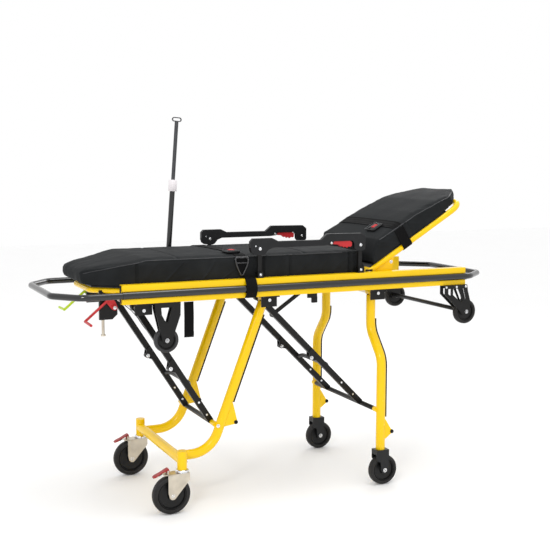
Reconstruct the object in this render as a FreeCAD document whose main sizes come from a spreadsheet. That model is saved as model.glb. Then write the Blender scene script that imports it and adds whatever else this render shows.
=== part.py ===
"""Self-loading ambulance stretcher trolley, as a parametric FreeCAD document.

Frame: +X towards the head end, +Y towards the patient's right, +Z up, millimetres.
Origin: on the ground, under the middle of the trolley.
"Left" parts are on the -Y side and "right" parts on the +Y side.
"""
import FreeCAD, Part

import math
import os
import re

import Sketcher
from FreeCAD import Placement, Rotation, Vector

doc = FreeCAD.newDocument("StretcherTrolley")
SIDES = (("left", -1), ("right", 1))
Y_AXIS = Vector(0, 1, 0)

# ---------------------------------------------------------------- driving dimensions
DIMENSIONS = {
    # side rails and the round bumper tubes set in their outer faces
    "rail_start": -698, "rail_length": 1500, "rail_bottom": 816, "rail_height": 72,
    "rail_inner": 250, "rail_width": 35, "rail_wall": 2.5, "rail_hollow": 18,
    "bumper_lateral": 286, "bumper_level": 850, "bumper_radius": 14, "bumper_bore": 12.4,
    # end handles, bent from one size of tube
    "handle_radius": 12.1, "handle_bore": 10.3, "handle_end": 935,
    "foot_bend": -849, "foot_corner": 180, "head_bend": 822, "head_corner": 186,
    "handle_insert": 190,
    # flat deck under the mattress
    "deck_end": -784, "deck_head": 322, "deck_tube_radius": 12, "deck_tube_wall": 2,
    "deck_tube_lateral": 215, "deck_tube_level": 858, "deck_half_width": 244,
    "deck_thickness": 6, "member_width": 30, "member_height": 20, "member_level": 826,
    # pivots of the two leg sets and of their knee braces
    "foot_leg_pivot": -100, "head_leg_pivot": 390, "leg_pivot_level": 797,
    "foot_brace_pivot": -610, "foot_brace_level": 787,
    "shaft_radius": 10, "shaft_half": 252, "hub_radius": 17, "running_gap": 0.3,
    "bracket_length": 66, "bracket_drop": 46, "bracket_plate": 6,
    # J-shaped foot legs
    "leg_radius": 19, "leg_bore": 16.6, "foot_leg_lateral": 205,
    "foot_corner_x": -329, "foot_run_level": 203, "foot_leg_bend": 116,
    "stem_place": -470, "stem_lateral": 266, "stem_bottom": 164, "stem_top": 240,
    # head legs with a sideways S-bend
    "head_leg_low_lateral": 291, "head_leg_high_lateral": 200, "head_leg_bottom": 149,
    "s_bend_low": 530, "s_bend_high": 640, "s_bend_radius": 90,
    # folding knee braces
    "brace_lateral": 145, "brace_width": 24,
    "knee_offset": 20, "knee_eye": 10, "knee_pin": 4, "brace_bar_radius": 10,
    "foot_knee_along": 284, "foot_brace_foot_x": -305, "foot_brace_foot_z": 308,
    "head_knee_along": 356, "head_brace_foot_x": 375, "head_brace_foot_z": 316,
    # wheels
    "caster_wheel_radius": 75, "caster_wheel_width": 34, "caster_trail": 45,
    "head_wheel_radius": 62.5, "head_wheel_width": 32, "head_wheel_trail": 11,
    "loading_wheel_radius": 52.5, "loading_wheel_width": 26,
    "loading_wheel_x": 801, "loading_wheel_level": 700, "loading_wheel_lateral": 281,
    "transit_wheel_radius": 47.5, "transit_wheel_width": 22,
    "transit_wheel_x": -529, "transit_wheel_level": 673, "transit_wheel_lateral": -270,
    "wheel_pin": 6, "fork_plate": 4,
    # backrest
    "back_hinge_x": 352, "back_hinge_level": 880, "back_angle": 31, "back_length": 545,
    "back_lateral": 232, "back_tube_radius": 12.5, "back_tube_bore": 10.5,
    # mattress
    "mattress_foot": -820, "mattress_thickness": 100, "mattress_half_width": 250,
    "mattress_level": 877, "back_pad_thickness": 76, "back_pad_half_width": 245,
    # folding side guards
    "guard_front_x": -147, "guard_rear_x": 296, "guard_pivot_level": 901,
    "guard_post": 100, "guard_lateral": 268,
    "guard_post_half": 5, "guard_eye": 8, "guard_pin": 4,
    # infusion pole
    "pole_x": -338, "pole_lateral": 268, "pole_foot_level": 892, "pole_lean": 4.45,
    "pole_lower_radius": 11, "pole_lower_length": 330, "pole_upper_radius": 8,
    "pole_top": 620, "pole_insert": 42,
    # release levers and docking plate
    "lever_pivot_x": -696, "lever_pivot_level": 792, "lever_rod_radius": 5,
    "plate_lateral": 150, "plate_half": 6, "docking_pin_x": -736,
    # straps
    "strap_width": 50, "lap_strap_x": -257,
}

sheet = doc.addObject("Spreadsheet::Sheet", "Dims")
for row, (alias, value) in enumerate(DIMENSIONS.items(), start=1):
    sheet.set("A%d" % row, alias)
    sheet.set("B%d" % row, str(value))
    sheet.setAlias("B%d" % row, alias)
doc.recompute()

sub_parts = []


def dim(alias):
    """The value of one cell of the sheet."""
    return float(sheet.get(alias))


def keep(item, label):
    """Give a finished sub-part its name and list it for writing."""
    item.Label = label
    sub_parts.append(item)
    return item


def cells(expression):
    """Turn the dimension names in an expression into references to the sheet."""
    return re.sub(r"[a-z][a-z_]+[a-z]", lambda word: "Dims." + word.group(0), str(expression))


def bind(item, **sizes):
    """Bind properties of an object to expressions, x, y and z being its place."""
    for name, expression in sizes.items():
        target = "Placement.Base." + name if name in ("x", "y", "z") else name
        item.setExpression(target, cells(expression))
    return item


# ---------------------------------------------------------------- building blocks
def box(x, y, z, length, width, height):
    item = doc.addObject("Part::Box", "Box")
    return bind(item, x=x, y=y, z=z, Length=length, Width=width, Height=height)


AXIS_TURN = {"x": Rotation(Vector(0, 1, 0), 90), "y": Rotation(Vector(1, 0, 0), -90), "z": Rotation()}


def rod(axis, x, y, z, radius, length):
    """A round bar that starts at x, y, z and runs along +axis."""
    item = doc.addObject("Part::Cylinder", "Rod")
    item.Placement = Placement(Vector(), AXIS_TURN[axis])
    return bind(item, x=x, y=y, z=z, Radius=radius, Height=length)


def cut(base, *tools):
    for tool in tools:
        item = doc.addObject("Part::Cut", "Cut")
        item.Base = base
        item.Tool = tool
        base = item
    return base


def fuse(*shapes):
    item = doc.addObject("Part::MultiFuse", "Fuse")
    item.Shapes = list(shapes)
    return item


def group(*shapes):
    """Separate solids of one sub-part."""
    item = doc.addObject("Part::Compound", "Group")
    item.Links = list(shapes)
    return item


def plane_of(body, role):
    for feature in body.Origin.OriginFeatures:
        if feature.Role == role:
            return feature
    raise ValueError(role)


def add_outline(sketch, corners):
    """A closed outline of straight lines, each corner bound to two expressions."""
    first = sketch.GeometryCount
    count = len(corners)
    ring = [Vector(math.cos(2 * math.pi * i / count), math.sin(2 * math.pi * i / count), 0)
            for i in range(count)]
    for i in range(count):
        sketch.addGeometry(Part.LineSegment(ring[i], ring[(i + 1) % count]), False)
    for i in range(count):
        following = first + (i + 1) % count
        sketch.addConstraint(Sketcher.Constraint("Coincident", first + i, 2, following, 1))
    for i, corner in enumerate(corners):
        for kind, place, value in zip(("DistanceX", "DistanceY"), ring[i], corner):
            index = sketch.addConstraint(Sketcher.Constraint(kind, -1, 1, first + i, 1, place))
            name = "%s_%d" % (kind, first + i)
            sketch.renameConstraint(index, name)
            sketch.setExpression("Constraints." + name, cells(value))


def add_circle(sketch, across, up, radius):
    index = sketch.addGeometry(Part.Circle(Vector(), Vector(0, 0, 1), 1), False)
    for kind, value in (("DistanceX", across), ("DistanceY", up)):
        number = sketch.addConstraint(Sketcher.Constraint(kind, -1, 1, index, 3, 0))
        name = "%s_%d" % (kind, index)
        sketch.renameConstraint(number, name)
        sketch.setExpression("Constraints." + name, cells(value))
    number = sketch.addConstraint(Sketcher.Constraint("Radius", index, 1))
    name = "Radius_%d" % index
    sketch.renameConstraint(number, name)
    sketch.setExpression("Constraints." + name, cells(radius))


def pad(plane, start, thickness, corners, holes=(), inner=None):
    """A plate or bar: an outline in the XY, XZ or YZ plane, from start along the third axis."""
    body = doc.addObject("PartDesign::Body", "Plate")
    sketch = body.newObject("Sketcher::SketchObject", "Outline")
    sketch.AttachmentSupport = [(plane_of(body, plane + "_Plane"), "")]
    sketch.MapMode = "FlatFace"
    offset = "-((%s) + (%s))" % (start, thickness) if plane == "XZ" else str(start)
    sketch.setExpression("AttachmentOffset.Base.z", cells(offset))
    add_outline(sketch, corners)
    if inner:
        add_outline(sketch, inner)
    for hole in holes:
        add_circle(sketch, *hole)
    feature = body.newObject("PartDesign::Pad", "Pad")
    feature.Profile = sketch
    feature.setExpression("Length", cells(thickness))
    sketch.Visibility = False
    return body


def turned(section):
    """A solid turned about the Y axis of its own frame: section points are (along, radius)."""
    body = doc.addObject("PartDesign::Body", "Turned")
    sketch = body.newObject("Sketcher::SketchObject", "Section")
    sketch.AttachmentSupport = [(plane_of(body, "YZ_Plane"), "")]
    sketch.MapMode = "FlatFace"
    add_outline(sketch, section)
    feature = body.newObject("PartDesign::Revolution", "Revolution")
    feature.Profile = sketch
    feature.ReferenceAxis = (sketch, ["H_Axis"])
    feature.Angle = 360
    return body


def rounded_path(points, radii):
    """Lines and tangent arcs through flat points, with a radius at each inner point."""
    vectors = [Vector(a, b, 0) for a, b in points]
    edges = []
    last = vectors[0]
    for before, corner, after, radius in zip(vectors, vectors[1:], vectors[2:], radii):
        inward = (before - corner).normalize()
        outward = (after - corner).normalize()
        half = inward.getAngle(outward) / 2
        reach = radius / math.tan(half)
        start = corner + inward * reach
        end = corner + outward * reach
        middle_way = (inward + outward).normalize()
        centre = corner + middle_way * (radius / math.sin(half))
        middle = centre - middle_way * radius
        edges.append(Part.LineSegment(last, start))
        edges.append(Part.Arc(start, middle, end))
        last = end
    edges.append(Part.LineSegment(last, vectors[-1]))
    return edges


def bent(plane, level, points, radii, outer, bore=None, flat=None):
    """A bent tube or strip whose centre line lies in a plane at the given level.

    plane XY lies at Z = level, XZ at Y = level and YZ at X = level. The section is a ring
    of the radii outer and bore, or a rectangle of flat = (across the plane, in the plane).
    """
    across, up, normal = {
        "XY": (Vector(1, 0, 0), Vector(0, 1, 0), Vector(0, 0, 1)),
        "XZ": (Vector(1, 0, 0), Vector(0, 0, 1), Vector(0, -1, 0)),
        "YZ": (Vector(0, 1, 0), Vector(0, 0, 1), Vector(1, 0, 0)),
    }[plane]
    body = doc.addObject("PartDesign::Body", "Tube")
    base = plane_of(body, "XY_Plane")
    spine = body.newObject("Sketcher::SketchObject", "CentreLine")
    spine.AttachmentSupport = [(base, "")]
    spine.MapMode = "FlatFace"
    turn = Rotation(across, up, normal, "XYZ")
    sign = -1 if plane == "XZ" else 1
    spine.AttachmentOffset = Placement(normal * (level * sign), turn)
    path = rounded_path(points, radii)
    for edge in path:
        spine.addGeometry(edge, False)
    heading = (across * (points[1][0] - points[0][0]) + up * (points[1][1] - points[0][1])).normalize()
    start = normal * (level * sign) + across * points[0][0] + up * points[0][1]
    ring = body.newObject("Sketcher::SketchObject", "TubeSection")
    ring.AttachmentSupport = [(base, "")]
    ring.MapMode = "FlatFace"
    ring.AttachmentOffset = Placement(start, Rotation(normal, normal.cross(heading) * -1, heading, "ZXY"))
    if flat:
        add_outline(ring, [("-(%s) / 2" % flat[0], "-(%s) / 2" % flat[1]),
                           ("(%s) / 2" % flat[0], "-(%s) / 2" % flat[1]),
                           ("(%s) / 2" % flat[0], "(%s) / 2" % flat[1]),
                           ("-(%s) / 2" % flat[0], "(%s) / 2" % flat[1])])
    else:
        add_circle(ring, 0, 0, outer)
        if bore:
            add_circle(ring, 0, 0, bore)
    doc.recompute()
    pipe = body.newObject("PartDesign::AdditivePipe", "Pipe")
    pipe.Profile = ring
    pipe.Spine = (spine, ["Edge%d" % (i + 1) for i in range(len(path))])
    return body


def moved(item, place, turn=None):
    """Place an object, turned about Y by an angle in degrees."""
    item.Placement = Placement(place, Rotation(Y_AXIS, turn or 0))
    return item


def tilted(x, level, turn, item, lateral=0):
    """Place an object at a point of the side view, turned about Y."""
    return moved(item, Vector(x, lateral, level), turn)


def rectangle(a_low, a_high, b_low, b_high):
    return [(a_low, b_low), (a_high, b_low), (a_high, b_high), (a_low, b_high)]


def between(start, end, radius):
    """A round bar between two points."""
    item = doc.addObject("Part::Cylinder", "Rod")
    run = end - start
    item.Placement = Placement(start, Rotation(Vector(0, 0, 1), run))
    item.Height = run.Length
    return bind(item, Radius=radius)


# ---------------------------------------------------------------- main frame
for side, sign in SIDES:
    section = rectangle("%d * rail_inner" % sign, "%d * (rail_inner + rail_width)" % sign,
                        "rail_bottom", "rail_bottom + rail_height")
    hollow = rectangle("%d * (rail_inner + rail_wall)" % sign,
                       "%d * (rail_inner + rail_hollow)" % sign,
                       "rail_bottom + rail_wall", "rail_bottom + rail_height - rail_wall")
    rail = pad("YZ", "rail_start", "rail_length", section, inner=hollow)
    groove = rod("x", "rail_start - 1", "%d * bumper_lateral" % sign, "bumper_level",
                 "bumper_radius + 0.2", "rail_length + 2")
    keep(cut(rail, groove), "side_rail_" + side)


def bumper_tube(sign):
    place = ("%d * bumper_lateral" % sign, "bumper_level")
    outer = rod("x", "rail_start", *place, "bumper_radius", "rail_length")
    bore = rod("x", "rail_start - 1", *place, "bumper_bore", "rail_length + 2")
    return cut(outer, bore)


keep(group(bumper_tube(-1), bumper_tube(1)), "bumper_tubes")

lateral = dim("bumper_lateral")
rail_end = dim("rail_start") + dim("rail_length")
half = [(rail_end - 60, -lateral), (dim("head_bend"), -lateral),
        (dim("handle_end"), -dim("head_corner"))]
loop = half + [(x, -y) for x, y in reversed(half)]
keep(bent("XY", dim("bumper_level"), loop, (60, 40, 40, 60), "handle_radius", "handle_bore"), "head_loop")

half = [(dim("rail_start") + dim("handle_insert"), -lateral), (dim("foot_bend"), -lateral),
        (-dim("handle_end"), -dim("foot_corner"))]
loop = half + [(x, -y) for x, y in reversed(half)]
keep(bent("XY", dim("bumper_level"), loop, (60, 40, 40, 60), "handle_radius", "handle_bore"), "foot_handle")

tube_line = dim("deck_tube_lateral")
loop_end = dim("deck_end") + dim("deck_tube_radius")
half = [(dim("deck_head"), -tube_line), (-655, -tube_line), (loop_end, -110)]
loop = half + [(x, -y) for x, y in reversed(half)]
keep(bent("XY", dim("deck_tube_level"), loop, (60, 40, 40, 60), "deck_tube_radius",
          "deck_tube_radius - deck_tube_wall"), "deck_frame")
DECK_PLAN = [("deck_head", "-deck_half_width"), (-645, "-deck_half_width"), ("deck_end + 8", -143),
             ("deck_end + 8", 143), (-645, "deck_half_width"), ("deck_head", "deck_half_width")]
keep(group(pad("XY", "deck_tube_level + deck_tube_radius", "deck_thickness", DECK_PLAN)), "deck_panel")


def cross_member(x):
    outer = box("%s - member_width / 2" % x, "-rail_inner", "member_level",
                "member_width", "2 * rail_inner", "member_height")
    inner = box("%s - member_width / 2 + 2" % x, "-rail_inner - 1", "member_level + 2",
                "member_width - 4", "2 * rail_inner + 2", "member_height - 4")
    return cut(outer, inner)


keep(group(cross_member("-640"), cross_member("-130"), cross_member("298")), "cross_members")

PIVOTS = (("foot_brace_pivot", "foot_brace_level"), ("foot_leg_pivot", "leg_pivot_level"),
          ("head_leg_pivot", "leg_pivot_level"))


def pivot_shaft(x, z):
    outer = rod("y", x, "-shaft_half", z, "shaft_radius", "2 * shaft_half")
    return cut(outer, rod("y", x, "-shaft_half - 1", z, "shaft_radius - 3", "2 * shaft_half + 2"))


def pivot_bracket(x, sign):
    """An angle under the rail, its plate carrying the end of a pivot shaft."""
    low = "shaft_half" if sign > 0 else "-shaft_half - bracket_plate"
    flange = "shaft_half" if sign > 0 else "-rail_inner - rail_width"
    start = "%s - bracket_length / 2" % x
    plate = box(start, low, "rail_bottom - bracket_drop", "bracket_length", "bracket_plate", "bracket_drop")
    top = box(start, flange, "rail_bottom - 5", "bracket_length",
              "rail_inner + rail_width - shaft_half", 5)
    return fuse(plate, top)


keep(group(*[pivot_shaft(x, z) for x, z in PIVOTS]), "pivot_shafts")
keep(group(*[pivot_bracket(x, sign) for x, z in PIVOTS for side, sign in SIDES]), "pivot_brackets")
bolts = []
for x, z in PIVOTS:
    bolts.append(rod("y", x, "-shaft_half - bracket_plate - 4", z, 6.5, 4))
    bolts.append(rod("y", x, "shaft_half + bracket_plate", z, 6.5, 4))
keep(group(*bolts), "frame_bolts")

# ---------------------------------------------------------------- small fixed wheels
LOADING_PLATE = [(690, 816), (802, 816), (806, 790), (819, 745), (819, 700), (811, 685), (795, 682),
                 (778, 692), (745, 726), (690, 778)]
LOADING_HOLES = ([(705, 801), (705, 780), (716, 770), (720, 774), (720, 801)],
                 [(731, 801), (731, 775), (772, 741), (780, 750), (755, 801)],
                 [(767, 801), (784, 801), (797, 752), (790, 748)])


def loading_bracket(sign):
    """Two plates with cut-outs, a top web and the wheel's pin."""
    plates = []
    for near in (262, 296.5):
        start = near if sign > 0 else -near - 3.5
        plate = pad("XZ", start, 3.5, LOADING_PLATE)
        holes = [pad("XZ", start - 1, 5.5, outline) for outline in LOADING_HOLES]
        plates.append(cut(plate, *holes))
    low = 262 if sign > 0 else -300
    web = box(690, low, "rail_bottom - 4", 112, 38, 4)
    pin = rod("y", "loading_wheel_x", low - (3 if sign < 0 else 0), "loading_wheel_level", "wheel_pin", 41)
    return fuse(*plates, web, pin)


bar = rod("y", 783, -262, 706, 9, 524)
keep(group(loading_bracket(-1), loading_bracket(1), bar), "loading_wheel_brackets")

TRANSIT_PLATE = [(-576, 816), (-475, 816), (-476, 766), (-510, 671), (-529, 656), (-547, 670),
                 (-575, 792)]
TRANSIT_HOLE = [(-551, 797), (-509, 797), (-525, 742), (-534, 742), (-549, 770)]
plates = []
for start in (-285.5, -257.5):
    plate = pad("XZ", start, 3, TRANSIT_PLATE)
    plates.append(cut(plate, pad("XZ", start - 1, 5, TRANSIT_HOLE)))
web = box(-576, -285.5, "rail_bottom - 4", 101, 31, 4)
pin = rod("y", "transit_wheel_x", -288.5, "transit_wheel_level", "wheel_pin", 36)
keep(fuse(*plates, web, pin), "transit_wheel_bracket")


def wheel(label, radius, width, x, y, z, hub=20, shoulder=5):
    """A tyre on a dished centre with a bored hub, turned about the pin."""
    bore = "wheel_pin + running_gap"
    rim = "0.68 * (%s)" % radius
    half_width = "(%s) / 2" % width
    right = [("%s + 0.5" % half_width, bore), ("%s + 0.5" % half_width, "%s / 2" % hub),
             ("%s - 5" % half_width, "%s / 2 + 4" % hub), ("%s - 5" % half_width, rim),
             (half_width, "%s + 3" % rim), (half_width, "%s - %s - 2" % (radius, shoulder)),
             ("%s - 2" % half_width, "%s - %s / 3" % (radius, shoulder)),
             ("%s - %s" % (half_width, shoulder), radius)]
    left = [("-(%s)" % across, around) for across, around in reversed(right)]
    body = turned(right + left)
    return keep(bind(body, x=x, y=y, z=z), label)


for side, sign in SIDES:
    wheel("loading_wheel_" + side, "loading_wheel_radius", "loading_wheel_width", "loading_wheel_x",
          "%d * loading_wheel_lateral" % sign, "loading_wheel_level")
wheel("transit_wheel", "transit_wheel_radius", "transit_wheel_width", "transit_wheel_x",
      "transit_wheel_lateral", "transit_wheel_level")

# ---------------------------------------------------------------- release levers
DOCKING_PLATE = [(-750, 858), (-750, 746), (-701, 746), (-681, 764), (-681, 858)]
LEVER_PLATE = [(-722, 858), (-722, 772), (-672, 772), (-672, 858)]
LEVER_SECTOR = [(-730, 816), (-718, 829), (-694, 818), (-684, 795), (-690, 782), (-704, 784)]
LEVER_CORNERS = ((-719, 821), (-808, 746))
LEVER_REACH = 255

docking = fuse(pad("XZ", "-plate_lateral - plate_half", "2 * plate_half", DOCKING_PLATE),
               rod("y", "lever_pivot_x", "-plate_lateral - plate_half - 20", "lever_pivot_level", 4, 20))
small_plate = fuse(pad("XZ", "plate_lateral - plate_half", "2 * plate_half", LEVER_PLATE),
                   rod("y", "lever_pivot_x", "plate_lateral + plate_half", "lever_pivot_level", 4, 20))
saddles = [between(Vector(-655, sign * tube_line, dim("deck_tube_level")),
                   Vector(loop_end, sign * 110, dim("deck_tube_level")), "deck_tube_radius + 0.2")
           for side, sign in SIDES]
keep(group(cut(docking, saddles[0]), cut(small_plate, saddles[1])), "lever_plates")
keep(fuse(rod("z", "docking_pin_x", "-plate_lateral", 690, 5.5, 56),
          rod("z", "docking_pin_x", "-plate_lateral", 684, 9, 6)), "docking_pin")


def release_lever(sign):
    """Hub, sector plate, rod and grip, beside its plate."""
    line = sign * (dim("plate_lateral") + dim("plate_half") + 10)
    hub_start = line - 8
    hub = rod("y", "lever_pivot_x", hub_start, "lever_pivot_level", 10, 16)
    sector = pad("XZ", line - 2.5, 5, LEVER_SECTOR)
    elbow, knee = [Vector(x, line, z) for x, z in LEVER_CORNERS]
    grip = Vector(knee.x, sign * LEVER_REACH, knee.z - 2)
    shank = between(elbow, knee, "lever_rod_radius")
    handle = between(knee, grip, "lever_rod_radius")
    lever = fuse(hub, sector, shank, handle)
    return cut(lever, rod("y", "lever_pivot_x", hub_start - 1, "lever_pivot_level", "4 + running_gap", 18))


keep(release_lever(-1), "red_lever")
keep(release_lever(1), "green_lever")

# ---------------------------------------------------------------- foot legs
pivot = Vector(dim("foot_leg_pivot"), 0, dim("leg_pivot_level"))
corner = Vector(dim("foot_corner_x"), 0, dim("foot_run_level"))
foot_lean = math.degrees(math.atan2(pivot.x - corner.x, pivot.z - corner.z))
leg_top = pivot + (corner - pivot).normalize() * 14
FOOT_GUSSET = [(-246, 396), (-238, 392), (-221, 322), (-226, 306), (-276, 300), (-262, 345)]
HEAD_GUSSET = [(396, 282), (407, 276), (434, 232), (440, 221), (434, 212), (404, 190), (392, 192)]
foot_tubes = []
for side, sign in SIDES:
    line = sign * dim("foot_leg_lateral")
    path = [(dim("stem_place") + 10, corner.z), (corner.x, corner.z), (leg_top.x, leg_top.z)]
    tube = bent("XZ", line, path,
                (dim("foot_leg_bend"),), "leg_radius", "leg_bore")
    hub = rod("y", "foot_leg_pivot", line - 19, "leg_pivot_level", "hub_radius", 38)
    lug = rod("y", "foot_brace_foot_x", min(sign * 160, line), "foot_brace_foot_z", 11, 45)
    gusset = pad("XZ", line - 11, 22, FOOT_GUSSET)
    beam = rod("y", "stem_place", line - 30, "foot_run_level", "leg_radius", 60)
    bore = rod("y", "foot_leg_pivot", line - 20, "leg_pivot_level", "shaft_radius + running_gap", 40)
    nose = rod("y", -226, line - 14, 313, 8, 28)
    foot_tubes.append(cut(fuse(tube, hub, lug, gusset), beam, bore, nose))
keep(group(*foot_tubes), "foot_leg_tubes")

stems = [rod("z", "stem_place", "%d * stem_lateral" % sign, "stem_bottom", "leg_radius",
             "stem_top - stem_bottom") for side, sign in SIDES]
sockets = [rod("z", "stem_place", "%d * stem_lateral" % sign, "stem_bottom - 1",
               "wheel_pin + running_gap", 37) for side, sign in SIDES]
beam = rod("y", "stem_place", "-stem_lateral", "foot_run_level", "leg_radius", "2 * stem_lateral")
beam_bore = rod("y", "stem_place", "-stem_lateral + 30", "foot_run_level", "leg_bore",
                "2 * stem_lateral - 60")
keep(cut(fuse(beam, *stems), *sockets, beam_bore), "foot_leg_beam")

trim = []
for side, sign in SIDES:
    line = sign * dim("foot_leg_lateral")
    strip = group(box("leg_radius", -7, -425, 5, 14, 365))
    trim.append(tilted(pivot.x, pivot.z, foot_lean, strip, line))
    trim.append(rod("y", -226, line - 13, 313, 8, 26))
keep(group(*trim), "foot_leg_trim")

# ---------------------------------------------------------------- head legs
FORK_CHEEK = [(362, 131), (362, 110), (368, 102), (380, 98), (384, 62), (392, 49), (409, 49), (417, 62),
              (419, 98), (420, 108), (420, 131)]
head_tubes = []
trim = []
forks = []
low_line = dim("head_leg_low_lateral")
high_line = dim("head_leg_high_lateral")
for side, sign in SIDES:
    path = [(sign * low_line, dim("head_leg_bottom")), (sign * low_line, dim("s_bend_low")),
            (sign * high_line, dim("s_bend_high")), (sign * high_line, dim("leg_pivot_level") - 14)]
    bend = (dim("s_bend_radius"),) * 2
    tube = bent("YZ", dim("head_leg_pivot"), path, bend, "leg_radius", "leg_bore")
    hub = rod("y", "head_leg_pivot", sign * high_line - 19, "leg_pivot_level", "hub_radius", 38)
    lug = rod("y", "head_brace_foot_x", min(sign * 265, sign * low_line), "head_brace_foot_z", 11, 26)
    gusset = pad("XZ", sign * low_line - 11, 22, HEAD_GUSSET)
    bore = rod("y", "head_leg_pivot", sign * high_line - 20, "leg_pivot_level",
               "shaft_radius + running_gap", 40)
    nose = rod("y", 438, sign * low_line - 14, 221, 8, 28)
    head_tubes.append(cut(fuse(tube, hub, lug, gusset), bore, nose))
    strip_path = [(sign * high_line, 683)] + [path[2], path[1]] + [(sign * low_line, 285)]
    trim.append(bent("YZ", dim("head_leg_pivot") + dim("leg_radius") + 2.5, strip_path, bend, None,
                     flat=(5, 14)))
    trim.append(rod("y", 438, sign * low_line - 13, 221, 8, 26))
    line = "%d * head_leg_low_lateral" % sign
    crown = box(362, "%s - 22" % line, 129, 58, 44, 20)
    cheeks = [pad("XZ", "%s + %g" % (line, start), "fork_plate",
                  FORK_CHEEK)
              for start in (-22, 18)]
    pin = rod("y", "head_leg_pivot + head_wheel_trail", "%s - 25" % line, "head_wheel_radius",
              "wheel_pin", 50)
    forks.append(fuse(crown, *cheeks, pin))
    wheel("head_wheel_" + side, "head_wheel_radius", "head_wheel_width",
          "head_leg_pivot + head_wheel_trail", line, "head_wheel_radius", hub=26)
keep(group(*head_tubes), "head_leg_tubes")
keep(group(*trim), "head_leg_trim")
keep(group(*forks), "head_leg_forks")


# ---------------------------------------------------------------- knee braces
def knee_brace(name, pivot_x, pivot_z, foot_x, foot_z, knee, bar_half, handle_at):
    """The two halves of a knee brace, in a frame that runs along the straight brace."""
    drop = math.degrees(math.atan2(pivot_z - foot_z, foot_x - pivot_x))
    whole = math.hypot(foot_x - pivot_x, pivot_z - foot_z)
    upper = []
    lower = []
    for side, sign in SIDES:
        line = sign * dim("brace_lateral")
        room = rod("y", knee, line - 15, "-knee_offset", "knee_eye + 1", 30)
        bar = box(12, line - 10, "-brace_width / 2", "%g - 12.5" % knee, 20, "brace_width")
        hollow = box(30, line - 8, "2 - brace_width / 2", "%g - 45" % knee, 16, "brace_width - 4")
        eye = rod("y", 0, line - 12, 0, "hub_radius", 24)
        bore = rod("y", 0, line - 13, 0, "shaft_radius + running_gap", 26)
        ears = []
        for start in (-14, 10):
            ears.append(pad("XZ", line + start, 4, [(knee - 30, 7), (knee - 26, -9), (knee - 9, -24),
                                                    (knee + 7, -13), (knee - 4, 7)]))
            ears.append(rod("y", knee, line + start, "-knee_offset", "knee_eye", 4))
        pin = rod("y", knee, line - 16, "-knee_offset", "knee_pin", 32)
        upper.append(cut(fuse(cut(bar, hollow, room), eye, *ears, pin), bore))
        end = whole - 4
        bar = box("%g + 0.5" % knee, line - 9.5, "-brace_width / 2", end - knee - 0.5, 19, "brace_width")
        hollow = box(knee + 50, line - 7.5, "2 - brace_width / 2", end - knee - 70, 15, "brace_width - 4")
        barrel = rod("y", knee, line - 9, "-knee_offset", "knee_eye", 18)
        web = pad("XZ", line - 9, 18, [(knee + 5, -28), (knee + 27, -11), (knee + 27, -4), (knee + 8, -12)])
        hole = rod("y", knee, line - 10, "-knee_offset", "knee_pin + running_gap", 20)
        lower.append(cut(fuse(cut(bar, hollow, room), barrel, web), hole))
    cross = rod("y", whole, -bar_half, 0, "brace_bar_radius", 2 * bar_half)
    reach = dim("brace_lateral")
    grip_line = [(-reach, 0), (-reach + 34, 17), (reach - 34, 17), (reach, 0)]
    grip = bent("YZ", handle_at, grip_line, (24, 24), 8)
    keep(tilted(pivot_x, pivot_z, drop, group(*upper)), name + "_brace_upper")
    keep(tilted(pivot_x, pivot_z, drop, fuse(*lower, cross, grip)), name + "_brace_lower")


knee_brace("foot", dim("foot_brace_pivot"), dim("foot_brace_level"), dim("foot_brace_foot_x"),
           dim("foot_brace_foot_z"), dim("foot_knee_along"), 157, 392)
knee_brace("head", dim("foot_leg_pivot"), dim("leg_pivot_level"), dim("head_brace_foot_x"),
           dim("head_brace_foot_z"), dim("head_knee_along"), 262, 452)

# ---------------------------------------------------------------- casters
CROWN = [(-546, -15), (-500, -24), (-447, -24), (-447, 24), (-500, 24), (-546, 15)]
FORK_SIDE = [(-533, 155), (-447, 155), (-447, 130), (-503, 66), (-510, 60), (-520, 60), (-528, 67),
             (-533, 88)]
PEDAL = [(-523, 175), (-521, 180), (-527, 181), (-585, 153), (-590, 147), (-582, 147), (-537, 172.8)]
for side, sign in SIDES:
    line = sign * dim("stem_lateral")
    crown = pad("XY", 154, 4, [(x, y + line) for x, y in CROWN])
    cheeks = [pad("XZ", line + start, "fork_plate", FORK_SIDE) for start in (-24, 20)]
    head = rod("z", "stem_place", line, 158, 24, 5.7)
    king_pin = rod("z", "stem_place", line, 160, "wheel_pin", 36)
    axle = rod("y", "stem_place - caster_trail", line - 27, "caster_wheel_radius", "wheel_pin", 54)
    lugs = [box(-533, line + start, 157, 6, 3, 15) for start in (-13, 10)]
    hinge = rod("y", -530, line - 13, 169, 3, 26)
    keep(fuse(crown, *cheeks, head, king_pin, axle, *lugs, hinge), "caster_fork_" + side)
    wheel("caster_wheel_" + side, "caster_wheel_radius", "caster_wheel_width",
          "stem_place - caster_trail", line, "caster_wheel_radius", hub=30, shoulder=8)
    plate = pad("XZ", line - 14, 28, PEDAL)
    barrel = rod("y", -530, line - 9, 169, 7.5, 18)
    hole = rod("y", -530, line - 15, 169, "3 + running_gap", 30)
    keep(cut(fuse(plate, barrel), hole), "caster_pedal_" + side)

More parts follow.
